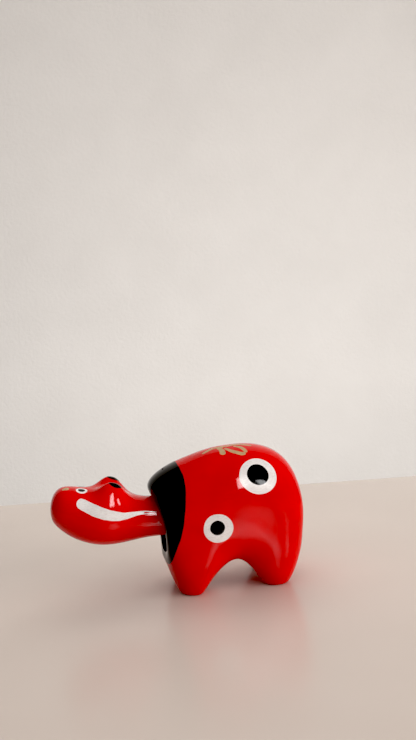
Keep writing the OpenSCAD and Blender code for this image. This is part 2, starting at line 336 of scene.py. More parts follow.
def mix(nt, kind, fac, a, b):
    m = nt.nodes.new("ShaderNodeMix")
    m.data_type = "RGBA"
    m.blend_type = kind
    # sockets 0, 6 and 7 are the factor and the two colours, output 2 the colour
    for socket, value in ((m.inputs[0], fac), (m.inputs[6], a), (m.inputs[7], b)):
        if isinstance(value, bpy.types.NodeSocket):
            nt.links.new(value, socket)
        else:
            socket.default_value = (*value, 1) if isinstance(value, tuple) else value
    return m.outputs[2]


def math_node(nt, op, a, b):
    m = nt.nodes.new("ShaderNodeMath")
    m.operation = op
    for i, value in enumerate((a, b)):
        if isinstance(value, bpy.types.NodeSocket):
            nt.links.new(value, m.inputs[i])
        else:
            m.inputs[i].default_value = value
    return m.outputs["Value"]


def map_range(nt, value, lo, hi, out_lo, out_hi):
    m = nt.nodes.new("ShaderNodeMapRange")
    nt.links.new(value, m.inputs["Value"])
    for key, v in zip(("From Min", "From Max", "To Min", "To Max"), (lo, hi, out_lo, out_hi)):
        m.inputs[key].default_value = v
    return m.outputs["Result"]


def bump(nt, bsdf, heights):
    """Chain of bumps; heights are (socket, height in mm)."""
    last = None
    for height, mm in heights:
        b = nt.nodes.new("ShaderNodeBump")
        b.inputs["Strength"].default_value = 1.0
        b.inputs["Distance"].default_value = mm * MM
        nt.links.new(height, b.inputs["Height"])
        if last is not None:
            nt.links.new(last, b.inputs["Normal"])
        last = b.outputs["Normal"]
    nt.links.new(last, bsdf.inputs["Normal"])


def lacquer(name, colour, darker, dust, specular):
    """Brushed glossy lacquer: slow colour drift, faint brush lines, settled specks."""
    rough = 0.085
    mat, nt, bsdf = new_material(name)
    vec = coords(nt)
    drift = noise(nt, vec, 22, 2.0)
    base = ramp(nt, drift, [(0.3, darker), (0.7, colour)])
    specks = noise(nt, vec, 0.55, 1.0)
    speck_mask = map_range(nt, specks, 0.735, 0.79, 0.0, dust)
    base = mix(nt, "MIX", speck_mask, base, tuple(0.6 * c + 0.012 for c in colour))
    nt.links.new(base, bsdf.inputs["Base Color"])
    brush = noise(nt, coords(nt, (0.25, 1, 1.3)), 1.6, 3.0, 0.6, 0.4)
    fine = noise(nt, vec, 4.5, 3.0)
    nt.links.new(map_range(nt, fine, 0.3, 0.75, rough * 0.75, rough * 1.3), bsdf.inputs["Roughness"])
    bsdf.inputs["Specular IOR Level"].default_value = specular
    bump(nt, bsdf, [(fine, 0.03), (brush, 0.006), (speck_mask, 0.02)])
    return mat


def paint(name, light, dark, rough, streak_mm, streak_height, streak_dir, coat=0.0):
    """Thick brushed paint: streaks of pigment along the stroke."""
    mat, nt, bsdf = new_material(name)
    vec = coords(nt)
    streaks = noise(nt, coords(nt, streak_dir), streak_mm, 4.0, 0.6, 0.6)
    cloud = noise(nt, vec, 3.5, 3.0)
    base = ramp(nt, streaks, [(0.32, dark), (0.62, light)])
    base = mix(nt, "MULTIPLY", 0.5, base, ramp(nt, cloud, [(0.3, (0.86, 0.84, 0.83)), (0.7, (1, 1, 1))]))
    nt.links.new(base, bsdf.inputs["Base Color"])
    nt.links.new(map_range(nt, streaks, 0.3, 0.7, rough * 0.8, rough * 1.25), bsdf.inputs["Roughness"])
    bsdf.inputs["Coat Weight"].default_value = coat
    bsdf.inputs["Coat Roughness"].default_value = 0.12
    bump(nt, bsdf, [(streaks, streak_height), (cloud, 0.02)])
    return mat


def round_brushed(name, like, middle):
    """White paint laid on round and round a ring's middle (x, z in mm)."""
    mat = like.copy()
    mat.name = name
    nt = mat.node_tree
    bsdf = nt.nodes["Principled BSDF"]
    tc = nt.nodes.new("ShaderNodeTexCoord")
    out = tc.outputs["Object"]
    for op, value in (("SUBTRACT", (middle[0] * MM, 0, middle[1] * MM)), ("MULTIPLY", (1, 0, 1.15))):
        v = nt.nodes.new("ShaderNodeVectorMath")
        v.operation = op
        v.inputs[1].default_value = value
        nt.links.new(out, v.inputs[0])
        out = v.outputs["Vector"]
    reach = nt.nodes.new("ShaderNodeVectorMath")
    reach.operation = "LENGTH"
    nt.links.new(out, reach.inputs[0])
    line = nt.nodes.new("ShaderNodeCombineXYZ")
    stray = math_node(nt, "MULTIPLY", noise(nt, tc.outputs["Object"], 7, 2.0), 1.6 * MM)
    nt.links.new(math_node(nt, "ADD", reach.outputs["Value"], stray), line.inputs["X"])
    hairs = noise(nt, line.outputs["Vector"], 0.55, 3.0, 0.6)
    base = bsdf.inputs["Base Color"].links[0].from_socket
    tone = ramp(nt, hairs, [(0.3, (0.86, 0.82, 0.815)), (0.55, (1, 1, 1))])
    nt.links.new(mix(nt, "MULTIPLY", 0.85, base, tone), bsdf.inputs["Base Color"])
    ridge = nt.nodes.new("ShaderNodeBump")
    ridge.inputs["Strength"].default_value = 1.0
    ridge.inputs["Distance"].default_value = 0.05 * MM
    nt.links.new(hairs, ridge.inputs["Height"])
    nt.links.new(bsdf.inputs["Normal"].links[0].from_socket, ridge.inputs["Normal"])
    nt.links.new(ridge.outputs["Normal"], bsdf.inputs["Normal"])
    return mat


def paper(name):
    """Pasted washi: torn overlapping patches, long fibres and brown flecks."""
    mat, nt, bsdf = new_material(name)
    vec = coords(nt)
    cells = node(nt, "ShaderNodeTexVoronoi", Scale=1000.0 / 11)
    warp = node(nt, "ShaderNodeTexNoise", Scale=1000.0 / 6, Detail=3.0)
    nt.links.new(vec, warp.inputs["Vector"])
    shifted = mix(nt, "ADD", 0.005, vec, warp.outputs["Color"])
    nt.links.new(shifted, cells.inputs["Vector"])
    fibres = noise(nt, coords(nt, (1, 0.12, 0.5)), 0.5, 4.0, 0.7, 1.5)
    flecks = map_range(nt, noise(nt, coords(nt, (0.3, 1, 1)), 0.9, 2.0), 0.68, 0.74, 0.0, 0.8)
    base = ramp(nt, fibres, [(0.3, (0.50, 0.42, 0.30)), (0.65, (0.72, 0.64, 0.49))])
    patches = mix(nt, "MULTIPLY", 0.35, base, cells.outputs["Color"])
    tone = mix(nt, "MIX", 0.6, base, patches)
    nt.links.new(mix(nt, "MIX", flecks, tone, (0.22, 0.14, 0.08)), bsdf.inputs["Base Color"])
    bsdf.inputs["Roughness"].default_value = 0.88
    bump(nt, bsdf, [(cells.outputs["Distance"], 0.12), (fibres, 0.05)])
    return mat


def cotton(name, light, dark, rough):
    """Twisted thread: fluff along the plies and slow staining."""
    mat, nt, bsdf = new_material(name)
    fluff = noise(nt, coords(nt), 0.12, 3.0, 0.7)
    stain = noise(nt, coords(nt), 2.5, 2.0)
    base = ramp(nt, fluff, [(0.3, dark), (0.7, light)])
    stained = ramp(nt, stain, [(0.3, (0.8, 0.74, 0.66)), (0.7, (1, 1, 1))])
    nt.links.new(mix(nt, "MULTIPLY", 0.5, base, stained), bsdf.inputs["Base Color"])
    bsdf.inputs["Roughness"].default_value = rough
    bsdf.inputs["Sheen Weight"].default_value = 0.3
    bump(nt, bsdf, [(fluff, 0.03)])
    return mat


def dried_clay(name):
    """Dried clay: cloudy brown, gritty and finely cracked."""
    mat, nt, bsdf = new_material(name)
    vec = coords(nt)
    grit = noise(nt, vec, 0.6, 5.0, 0.7)
    cloud = noise(nt, vec, 5, 3.0)
    cracks = node(nt, "ShaderNodeTexVoronoi", feature="DISTANCE_TO_EDGE", Scale=1000.0 / 5)
    nt.links.new(vec, cracks.inputs["Vector"])
    crack = map_range(nt, cracks.outputs["Distance"], 0.0, 0.05, 0.0, 1.0)
    base = ramp(nt, cloud, [(0.3, (0.24, 0.155, 0.10)), (0.7, (0.36, 0.25, 0.165))])
    base = mix(nt, "MULTIPLY", 0.45, base, ramp(nt, grit, [(0.35, (0.6, 0.55, 0.5)), (0.65, (1, 1, 1))]))
    nt.links.new(mix(nt, "MIX", crack, (0.10, 0.06, 0.04), base), bsdf.inputs["Base Color"])
    bsdf.inputs["Roughness"].default_value = 0.9
    bump(nt, bsdf, [(crack, 0.15), (grit, 0.12)])
    return mat


RED = lacquer("red_lacquer", (0.74, 0.0, 0.0005), (0.65, 0.0, 0.0003), 0.35, 0.36)
BLACK = lacquer("black_lacquer", (0.004, 0.0035, 0.003), (0.002, 0.0018, 0.0016), 0.5, 0.27)
WHITE = paint("white_paint", (0.92, 0.90, 0.88), (0.76, 0.69, 0.68), 0.32, 0.45, 0.035, (0.25, 1, 1.5),
              0.25)
REAR_PUPIL, FRONT_PUPIL = (42.2, 63.6), (17.5, 38.2)
REAR_WHITE = round_brushed("rear_ring_white_paint", WHITE, REAR_PUPIL)
FRONT_WHITE = round_brushed("front_ring_white_paint", WHITE, FRONT_PUPIL)
GOLD = paint("gold_paint", (0.62, 0.42, 0.21), (0.42, 0.25, 0.11), 0.42, 0.4, 0.03, (0.3, 1.2, 1.2), 0.1)
WASHI = paper("bare_paper")
COTTON = cotton("cotton_thread", (0.78, 0.73, 0.62), (0.50, 0.44, 0.34), 0.85)
BLACK_COTTON = cotton("black_cotton", (0.010, 0.009, 0.008), (0.003, 0.003, 0.003), 0.3)
CLAY = dried_clay("dried_clay")


# ---------------------------------------------------------------- shells
# Where the black of the collar ends, as a row of the body at an angle from the top
COLLAR = np.array([[0, 3.70], [18, 3.77], [33, 3.83], [53, 3.74], [68, 3.51], [80, 3.27], [98, 2.95],
                   [115, 2.41], [135, 1.95], [152, 1.57], [168, 1.35], [180, 1.28]])


def collar_row(a):
    """The collar's edge at angle a, smoothed and brushed by hand."""
    d = np.degrees(np.abs(a))
    d = np.minimum(d, 360 - d)
    u = np.interp(d, COLLAR[:, 0], COLLAR[:, 1])
    for off in (4, 8):
        u = u + np.interp(np.abs(d - off), COLLAR[:, 0], COLLAR[:, 1]) \
              + np.interp(np.minimum(d + off, 360 - d - off), COLLAR[:, 0], COLLAR[:, 1])
    return u / 5 + 0.012 * np.sin(a * 9 + 1) + 0.008 * np.sin(a * 23)


def top_row(x):
    """Row of the body whose top lies at x, on the collar."""
    rows = np.linspace(2.5, 5.0, 4001)
    return float(np.interp(x, body_base(rows, np.zeros_like(rows))[:, 0], rows))


HOLE_R = 0.7
HOLE_ROW = top_row(THREAD_X)
HOLE_SPAN = top_row(THREAD_X + HOLE_R) - HOLE_ROW
COLLAR_PROUD = 0.05


def half_shell(part, side):
    """One moulded half: lacquered outer skin, bare inner skin, cut edges."""
    end = END[part]
    wall = BODY_WALL if part == "body" else HEAD_WALL
    nu, na = (190, 96) if part == "body" else (160, 72)
    # more rows near the closed end, where the section shrinks fastest
    t = np.linspace(0, 1, nu)
    us = end * (t + 0.05 * np.sin(np.pi * t) * t)
    a0 = np.zeros(nu)
    collar_at = 0
    if part == "body":
        # rows that follow the thread's hole, and one on the collar's edge
        ring = HOLE_ROW + HOLE_SPAN * np.cos(np.linspace(np.pi, 0, 11))
        top_edge = float(collar_row(np.zeros(1))[0])
        us = us[(np.abs(us - HOLE_ROW) > HOLE_SPAN + 0.012) & (np.abs(us - top_edge) > 0.03)]
        us = np.sort(np.concatenate([us, ring, [top_edge, top_edge + 0.006]]))
        collar_at = int(np.searchsorted(us, top_edge))
        off = np.abs(us - HOLE_ROW) / HOLE_SPAN
        half = np.sqrt(np.clip(1 - off ** 2, 0, None)) * HOLE_R
        a0 = half / np.maximum(spline(BODY, us)[:, 4], 1)
    A = a0[:, None] + (np.pi - a0[:, None]) * np.linspace(0, 1, na)[None, :]
    U = np.repeat(us[:, None], na, 1)
    step = np.zeros_like(U)
    if part == "body":
        edge = collar_row(A[-1])[None, :]
        s = us[:, None]
        past = edge + (s - top_edge) * (end - edge) / (end - top_edge)
        U = np.where(s <= top_edge, s * edge / top_edge, past)
        step[:collar_at + 1] = COLLAR_PROUD
    turn = -A if side == "left" else A
    N = outer_normal(part, U, turn)
    P = outer(part, U, turn) + N * step[..., None]
    Q = inner(part, U, turn, wall)
    M = -base_normal(part, BASE[part], U, turn)
    # the closed end is one point
    pole, pole_in = P[-1].mean(0), Q[-1].mean(0)
    pole[1] = pole_in[1] = 0
    P, N, Q, M = P[:-1], N[:-1], Q[:-1], M[:-1]
    P[:, -1, 1] = Q[:, -1, 1] = 0
    rows = len(P)
    n = rows * na
    front = np.array([1.0 if part == "body" else -1.0, 0, 0])
    verts = np.concatenate([P.reshape(-1, 3), Q.reshape(-1, 3), [pole, pole_in]])
    norms = np.concatenate([N.reshape(-1, 3), M.reshape(-1, 3), [front, -front]])
    turned = (side == "left") == (part == "head")
    out, mats = [], []
    red, black, bare = 0, 1, 2

    def add(q, m):
        out.append(q[::-1] if turned else q)
        mats.append(m)

    # black lacquer runs a little way into the opening, and is carried on deeper as painted shade: the
    # inner skin is painted black where the inside of the opening lies in shade
    black_and_painted_shade_in = int(np.searchsorted(us, 1.9)) if part == "body" else 0
    for i in range(rows - 1):
        for j in range(na - 1):
            a, b, c, d = i * na + j, i * na + j + 1, (i + 1) * na + j + 1, (i + 1) * na + j
            add([a, b, c, d], black if i < collar_at else red)
            # inner faces before this row are black: real lacquer at the rim, painted shade further in
            add([n + d, n + c, n + b, n + a], black if i < black_and_painted_shade_in else bare)
    for j in range(na - 1):
        add([j + 1, j, n + j, n + j + 1], black if part == "body" else bare)
        k = (rows - 1) * na
        add([k + j, k + j + 1, 2 * n], red)
        add([2 * n + 1, n + k + j + 1, n + k + j], bare)
    for i in range(rows - 1):
        add([i * na, (i + 1) * na, n + (i + 1) * na, n + i * na], bare)
        k = na - 1
        add([(i + 1) * na + k, i * na + k, n + i * na + k, n + (i + 1) * na + k], bare)
    k = (rows - 1) * na
    add([k, 2 * n, 2 * n + 1, n + k], bare)
    add([2 * n, k + na - 1, n + k + na - 1, 2 * n + 1], bare)
    name = f"{part}_{side}_shell_lacquered"
    add_piece(name, verts, out, [RED, BLACK, WASHI], part, (f"{part}_{side}_shell",),
              norms, mats)


for side in ("left", "right"):
    half_shell("body", side)
    half_shell("head", side)


def rim_binding():
    """Half-round paper bead over the cut edge of the opening, lacquered black."""
    n, arc = 200, 14
    a = np.arange(n) * 2 * np.pi / n
    zero = np.zeros(n)
    edge = outer("body", zero, a) + outer_normal("body", zero, a) * COLLAR_PROUD
    inside = inner("body", zero, a, BODY_WALL)
    ahead = body_base(zero, a) - body_base(zero + 0.01, a)
    ahead /= np.linalg.norm(ahead, axis=1)[:, None]
    middle, r = (edge + inside) / 2, (edge - inside) / 2
    size = np.linalg.norm(r, axis=1)[:, None]
    lump = 1 + 0.05 * np.sin(7 * a + 1)[:, None] + 0.03 * np.sin(17 * a)[:, None]
    verts, norms = [], []
    for k in range(arc):
        turn = np.pi * k / (arc - 1)
        verts.append(middle + r * np.cos(turn) + ahead * size * lump * np.sin(turn))
        norms.append(r / size * np.cos(turn) + ahead * np.sin(turn))
    verts = np.stack(verts, 1).reshape(-1, 3)
    norms = np.stack(norms, 1).reshape(-1, 3)
    faces = []
    for i in range(n):
        i2 = (i + 1) % n
        for k in range(arc):
            k2 = (k + 1) % arc
            faces.append([i * arc + k, i * arc + k2, i2 * arc + k2, i2 * arc + k])
    add_piece("opening_rim_bead", verts, faces, [BLACK], "body", ("opening_rim_binding",),
              norms)


rim_binding()


# ---------------------------------------------------------------- painted marks
# Ranges of angle that hold each face of the shells; the left side is at negative angles
SPAN = {"left": (-math.pi + 0.02, -0.02), "right": (0.02, math.pi - 0.02), "top": (-1.35, 1.35)}
FILM_SINK = 0.12
samples = {}


def solve(part, target, where):
    """Row and angle at which the lacquer lies on the target, seen from a side or from above."""
    low_a, high_a = SPAN[where]
    high_u = END[part] - 0.05
    pick = [0, 1] if where == "top" else [0, 2]
    if (part, where) not in samples:
        GU, GA = np.meshgrid(np.linspace(0, high_u, 90), np.linspace(low_a, high_a, 90), indexing="ij")
        samples[part, where] = GU.ravel(), GA.ravel(), outer(part, GU, GA).reshape(-1, 3)[:, pick]
    GU, GA, GP = samples[part, where]
    k = ((target[:, None, :] - GP[None]) ** 2).sum(-1).argmin(1)
    u, a = GU[k].copy(), GA[k].copy()
    for _ in range(8):
        f = outer(part, u, a)[:, pick] - target
        du = (outer(part, u + 1e-3, a)[:, pick] - target - f) / 1e-3
        da = (outer(part, u, a + 1e-3)[:, pick] - target - f) / 1e-3
        det = du[:, 0] * da[:, 1] - du[:, 1] * da[:, 0]
        det = np.where(np.abs(det) < 1e-4, 1e-4, det)
        su = (f[:, 0] * da[:, 1] - f[:, 1] * da[:, 0]) / det
        sa = (du[:, 0] * f[:, 1] - du[:, 1] * f[:, 0]) / det
        u = np.clip(u - np.clip(su, -0.3, 0.3), 0, high_u)
        a = np.clip(a - np.clip(sa, -0.1, 0.1), low_a, high_a)
    return u, a


def film(name, part, targets, where, mat, thick, proud, polar):
    """A thin closed coat of paint over a grid of target points; its rim dips into the lacquer."""
    rows, cols = targets.shape[:2]
    u, a = solve(part, targets.reshape(-1, 2), where)
    P, N = outer(part, u, a), outer_normal(part, u, a)
    top = P + N * (thick * proud).reshape(-1)[:, None]
    low = P - N * FILM_SINK
    n = rows * cols
    verts = np.concatenate([top, low])
    norms = np.concatenate([N, -N])
    # turn the faces so that the top looks outward
    e = (rows // 2) * cols + cols // 2
    flip = np.cross(top[e + 1] - top[e], top[e + cols] - top[e]) @ N[e] < 0
    faces = quads(rows, cols, 0, flip, polar) + quads(rows, cols, n, not flip, polar)
    if polar:
        c = [list(range(cols)), list(range(n, n + cols))]
        faces += [c[0][::-1] if not flip else c[0], c[1] if not flip else c[1][::-1]]
        base = (rows - 1) * cols
        for j in range(cols):
            j2 = (j + 1) % cols
            q = [base + j, base + j2, n + base + j2, n + base + j]
            faces.append(q[::-1] if flip else q)
    else:
        edge = list(range(cols)) + [i * cols + cols - 1 for i in range(1, rows)] \
            + [(rows - 1) * cols + j for j in range(cols - 2, -1, -1)] \
            + [i * cols for i in range(rows - 2, 0, -1)]
        for k, x in enumerate(edge):
            y = edge[(k + 1) % len(edge)]
            q = [y, x, n + x, n + y]
            faces.append(q[::-1] if flip else q)
    add_piece(name, verts, faces, [mat], part, (), norms)


def wobble(theta, seed, size):
    """Seeded waviness of a dab's edge."""
    rng = np.random.default_rng(seed)
    out = np.zeros_like(theta)
    for k in range(2, 8):
        out += size / k * np.sin(k * theta + rng.uniform(0, 6.28)) * rng.uniform(0.4, 1)
    return out


def disc(name, part, centre, radii, where, mat, seed, thick, tilt=0.0, rim=0.03, spokes=72):
    """A brushed round dab: radii along and across, turned by tilt."""
    th = np.arange(spokes) * 2 * np.pi / spokes
    edge = 1 + wobble(th, seed, rim)
    s = np.concatenate([[0.02], np.linspace(0.1, 0.93, 11), [0.97, 1.0]])
    x = np.cos(th) * radii[0] * edge
    z = np.sin(th) * radii[1] * edge
    c, d = math.cos(tilt), math.sin(tilt)
    ex, ez = x * c - z * d, x * d + z * c
    targets = np.stack([centre[0] + s[:, None] * ex, centre[1] + s[:, None] * ez], -1)
    proud = np.ones((len(s), spokes))
    proud[-3] = 1.15
    proud[-2] = 0.9
    proud[-1] = -0.3
    film(name, part, targets, where, mat, thick, proud, polar=True)


def ribbon(name, part, line, widths, where, mat, seed, thick, steps=60, across=11):
    """A brush stroke along a line of given points, with its own width at each point."""
    line = np.asarray(line, float)
    k = np.linspace(0, len(line) - 1, steps)
    ext = np.vstack([2 * line[0] - line[1], line, 2 * line[-1] - line[-2]])
    i = np.minimum(k.astype(int), len(line) - 2)
    t = (k - i)[:, None]
    p0, p1, p2, p3 = ext[i], ext[i + 1], ext[i + 2], ext[i + 3]
    path = 0.5 * (2 * p1 + (p2 - p0) * t + (2 * p0 - 5 * p1 + 4 * p2 - p3) * t ** 2
                  + (3 * p1 - p0 - 3 * p2 + p3) * t ** 3)
    tan = np.gradient(path, axis=0)
    tan /= np.linalg.norm(tan, axis=1)[:, None]
    side = np.stack([-tan[:, 1], tan[:, 0]], 1)
    w = np.interp(k, range(len(widths)), widths) / 2
    rng = np.random.default_rng(seed)
    w = w * (1 + 0.02 * np.sin(k * 3.1 + rng.uniform(0, 6)) + 0.012 * np.sin(k * 7.7 + rng.uniform(0, 6)))
    # round ends
    gone = np.concatenate([[0], np.cumsum(np.linalg.norm(np.diff(path, axis=0), axis=1))])
    for d, r in ((gone, max(w[0], 0.1)), (gone[-1] - gone, max(w[-1], 0.1))):
        w = w * np.sqrt(np.clip(1 - np.clip(1 - d / r, 0, 1) ** 2, 0.0004, 1))
    c = np.linspace(-1, 1, across)
    c = np.sign(c) * np.abs(c) ** 0.7
    targets = path[:, None] + side[:, None] * w[:, None, None] * c[None, :, None]
    proud = np.ones((steps, across)) * (0.85 + 0.3 * rng.random(across)[None, :])
    proud[:, [0, -1]] = -0.3
    proud[[0, -1], :] = -0.3
    film(name, part, targets, where, mat, thick, proud, polar=False)


for side, sy in (("left", -1), ("right", 1)):
    # two ringed spots on each flank, brushed round and round
    disc(f"rear_ring_white_{side}", "body", (42.3, 62.6), (10.6, 8.9), side, REAR_WHITE,
         3, 0.10, tilt=-0.22, rim=0.025)
    disc(f"rear_ring_pupil_{side}", "body", REAR_PUPIL, (6.3, 5.1), side, BLACK,
         5, 0.19, tilt=-0.3, rim=0.02)
    disc(f"front_ring_white_{side}", "body", (18.0, 37.8), (8.0, 7.9), side, FRONT_WHITE,
         8, 0.10, rim=0.025)
    disc(f"front_ring_pupil_{side}", "body", FRONT_PUPIL, (4.05, 4.05), side, BLACK,
         11, 0.19, rim=0.03)
    # cheek stripe that runs from the mouth to the neck and thins out there
    ribbon(f"cheek_stripe_{side}", "head",
           [(-55.1, 57.1), (-52.6, 55.9), (-49.6, 54.2), (-46.0, 52.2), (-40.3, 49.6), (-34.7, 47.9),
            (-30.7, 47.3), (-26.7, 47.3), (-22.4, 47.3), (-19.5, 47.2)],
           [4.2, 5.2, 5.8, 6.0, 6.0, 5.0, 3.9, 2.4, 1.4, 0.6], side, WHITE, 21, 0.10,
           steps=120, across=15)
    ribbon(f"cheek_stripe_upper_hairs_{side}", "head",
           [(-30.0, 48.6), (-25.2, 48.2), (-19.1, 47.8), (-15.6, 47.2), (-12.6, 46.8)],
           [1.2, 0.9, 0.6, 0.4, 0.2], side, WHITE, 23, 0.08, across=7)
    ribbon(f"cheek_stripe_lower_hairs_{side}", "head",
           [(-30.0, 46.0), (-26.0, 46.4), (-22.4, 46.7), (-18.0, 46.5), (-14.5, 46.2)],
           [1.2, 0.8, 0.5, 0.4, 0.2], side, WHITE, 25, 0.08, across=7)
    # eye on top of the face
    disc(f"eye_white_{side}", "head", (-51.9, sy * 4.6), (3.1, 2.9), "top", WHITE,
         31, 0.10, rim=0.03, spokes=56)
    disc(f"eye_pupil_{side}", "head", (-52.0, sy * 4.5), (1.9, 1.5), "top", BLACK,
         33, 0.18, rim=0.04, spokes=48)
    # black on the tip of each horn bump
    disc(f"horn_tip_{side}", "head", (-34.0, sy * 7.7), (3.5, 2.6), "top", BLACK,
         37, 0.12, rim=0.05, spokes=56)

# dab on the nose
ribbon("nose_dab", "head", [(-58.7, -2.8), (-60.4, -3.6), (-62.4, -4.2)], [3.8, 3.2, 1.2], "top", GOLD,
       41, 0.07, steps=24)

# leaf-like gold strokes across the back
ribbon("back_stroke_stem", "body", [(15.3, -5.2), (18.4, -3.8), (21.7, -2.0), (24.6, -2.3), (27.5, -4.1)],
       [1.4, 2.0, 2.2, 2.0, 1.5], "top", GOLD, 51, 0.08)
ribbon("back_stroke_lobe", "body", [(24.6, -2.9), (26.0, -6.8), (26.1, -9.9), (25.8, -11.5)],
       [1.8, 3.0, 3.4, 2.8], "top", GOLD, 53, 0.09)
ribbon("back_stroke_long", "body", [(21.7, -1.8), (25.8, -2.0), (30.0, -2.3), (36.1, -1.6), (39.8, -3.4),
                                    (43.8, -4.5)],
       [1.4, 1.9, 2.1, 2.1, 1.8, 1.3], "top", GOLD, 55, 0.10)
ribbon("back_stroke_leaf", "body", [(28.0, -5.4), (31.0, -9.5), (33.7, -11.5), (36.0, -12.8),
                                    (38.4, -12.6)],
       [1.5, 2.5, 2.8, 2.6, 1.9], "top", GOLD, 57, 0.09)
ribbon("back_stroke_rear_leaf", "body", [(33.4, -4.3), (36.7, -6.8), (38.2, -9.3), (38.9, -12.1)],
       [1.5, 2.4, 2.6, 2.0], "top", GOLD, 59, 0.11)


# ---------------------------------------------------------------- thread and knots
def plied(centre_line, radius, turns, plies=3, closed=False, sides=10):
    """Plies laid round a centre line: returns joined tubes."""
    line = np.asarray(centre_line, float)
    n = len(line)
    t = np.roll(line, -1, 0) - np.roll(line, 1, 0) if closed else np.gradient(line, axis=0)
    t /= np.linalg.norm(t, axis=1)[:, None]
    normal = np.cross(t[0], [0.1, 1.0, 0.2])
    parts = []
    e1, e2 = [], []
    for k in range(n):
        normal = normal - t[k] * (normal @ t[k])
        normal /= np.linalg.norm(normal)
        e1.append(normal)
        e2.append(np.cross(t[k], normal))
    e1, e2 = np.array(e1), np.array(e2)
    ply_r = radius * 0.48
    for p in range(plies):
        ang = 2 * np.pi * (turns * np.arange(n) / (n if closed else n - 1) + p / plies)
        path = line + (radius - ply_r) * (np.cos(ang)[:, None] * e1 + np.sin(ang)[:, None] * e2)
        parts.append(tube(path, ply_r, sides, closed))
    return join(parts)


def ring_line(centre, r, axis, n=120):
    """Circle round an axis."""
    a = np.arange(n) * 2 * np.pi / n
    c, s, o = r * np.cos(a), r * np.sin(a), np.zeros(n)
    pts = {"y": np.stack([c, o, s], 1), "x": np.stack([o, c, s], 1)}[axis]
    return pts + centre


def knot_line(centre, size, n=160):
    """Trefoil knot."""
    t = np.arange(n) * 2 * np.pi / n
    p = np.stack([np.sin(t) + 2 * np.sin(2 * t), np.cos(t) - 2 * np.cos(2 * t), -np.sin(3 * t)], 1)
    return p * size / 3 + centre


THREAD_R, KNOT_R = 0.45, 0.42
EYE_Z, STITCH_Z, STITCH_KNOT_Z, BACK_KNOT_Z = 54.75, 52.15, 49.65, 67.45

z = np.linspace(56.1, 66.6, 90)
v, f = plied(np.stack([np.full_like(z, THREAD_X), 0 * z, z], 1), THREAD_R, 7.5)
add_piece("hanging_thread_plies", v, f, [COTTON], "thread", ("hanging_thread",))
v, f = plied(ring_line((THREAD_X, 0, EYE_Z), 1.2, "y"), THREAD_R, 6, closed=True)
add_piece("thread_eye_loop", v, f, [COTTON], "eye", ("thread_eye",))
v, f = join([
    plied(ring_line((THREAD_X, 0, STITCH_Z), 2.5, "x", 200), THREAD_R, 12, closed=True),
    tube(knot_line((THREAD_X, 0, STITCH_KNOT_Z), 0.8), KNOT_R, 10, True),
])
add_piece("neck_stitch_loop", v, f, [COTTON], "head", ("neck_stitch",))
v, f = tube(knot_line((THREAD_X, 0, BACK_KNOT_Z), 0.72), KNOT_R, 12, True)
add_piece("back_knot_lacquered", v, f, [BLACK_COTTON], "body", ("back_knot",))


# ---------------------------------------------------------------- clay in the neck's tail
def clay():
    """Clay pressed in by thumb: a lumpy front, flat against the disc behind."""
    rng = np.random.default_rng(12)
    n = 96
    x1 = THREAD_X + NECK_TAIL
    x0 = x1 - CLAY_LENGTH
    a = np.arange(n) * 2 * np.pi / n
    out = inner("head", np.zeros(n), a, HEAD_WALL)[:, 1:]
    mid = out.mean(0)
    rows = []
    for x in np.linspace(x1 - 0.02, x0 + 1.2, 22):
        k = 0.995 - 0.006 * rng.random(n)
        k = (k + np.roll(k, 1) + np.roll(k, -1) + np.roll(k, 2) + np.roll(k, -2)) / 5
        rows.append(np.column_stack([np.full(n, x), mid + (out - mid) * k[:, None]]))
    for s in np.cos(np.linspace(0.25, 1.5, 14)):
        yz = mid + (out - mid) * s
        dent = 0.35 * np.sin(yz[:, 0] * 0.55 + 1) * np.sin(yz[:, 1] * 0.6) + 0.2 * np.sin(yz[:, 0] * 1.3)
        x = x0 + 1.15 - 1.0 * math.sqrt(max(0, 1 - s * s)) + dent * (1 - s)
        rows.append(np.column_stack([x, yz]))
    m = len(rows)
    verts = np.concatenate(rows + [[[x0 + 0.2, *mid]], [[x1 - 0.02, *mid]]])
    faces = quads(m, n, 0, False, True)
    for j in range(n):
        j2 = (j + 1) % n
        faces.append([(m - 1) * n + j, (m - 1) * n + j2, m * n])
        faces.append([j2, j, m * n + 1])
    c = verts[:m * n].mean(0)
    q = faces[5 * n]
    w = np.cross(verts[q[1]] - verts[q[0]], verts[q[3]] - verts[q[0]])
    if w @ (verts[q[0]] - c) < 0:
        faces = [g[::-1] for g in faces]
    add_piece("clay_weight_pressed", verts, faces, [CLAY], "head", ("clay_weight",))


clay()

# the CAD's own strips, patch and disc stay, in bare paper
PAPER_NODES = ("back_seam_strip", "belly_seam_strip", "thread_hole_patch", "crown_seam_strip",
               "chin_seam_strip", "neck_end_disc")
for obj in bpy.data.objects:
    if obj.type == "MESH" and obj.name.startswith(PAPER_NODES):
        if not obj.data.materials:
            obj.data.materials.append(WASHI)
        for material_slot in obj.material_slots:
            material_slot.material = WASHI


# ---------------------------------------------------------------- stage
def stage_material(name, light, dark, rough, grain_mm, grain_height, specular=0.5):
    mat, nt, bsdf = new_material(name)
    vec = coords(nt)
    cloud = noise(nt, vec, 120, 2.0)
    nt.links.new(ramp(nt, cloud, [(0.3, dark), (0.7, light)]), bsdf.inputs["Base Color"])
    grain = noise(nt, vec, grain_mm, 4.0, 0.6)
    nt.links.new(map_range(nt, grain, 0.3, 0.7, rough * 0.9, rough * 1.1), bsdf.inputs["Roughness"])
    bsdf.inputs["Specular IOR Level"].default_value = specular
    bump(nt, bsdf, [(grain, grain_height)])
    return mat


WALL = stage_material("wall_plaster", (0.83, 0.79, 0.755), (0.80, 0.76, 0.725), 0.85, 7, 0.9)
FLOOR = stage_material("table_top", (0.70, 0.608, 0.545), (0.67, 0.578, 0.515), 0.24, 3, 0.0012)


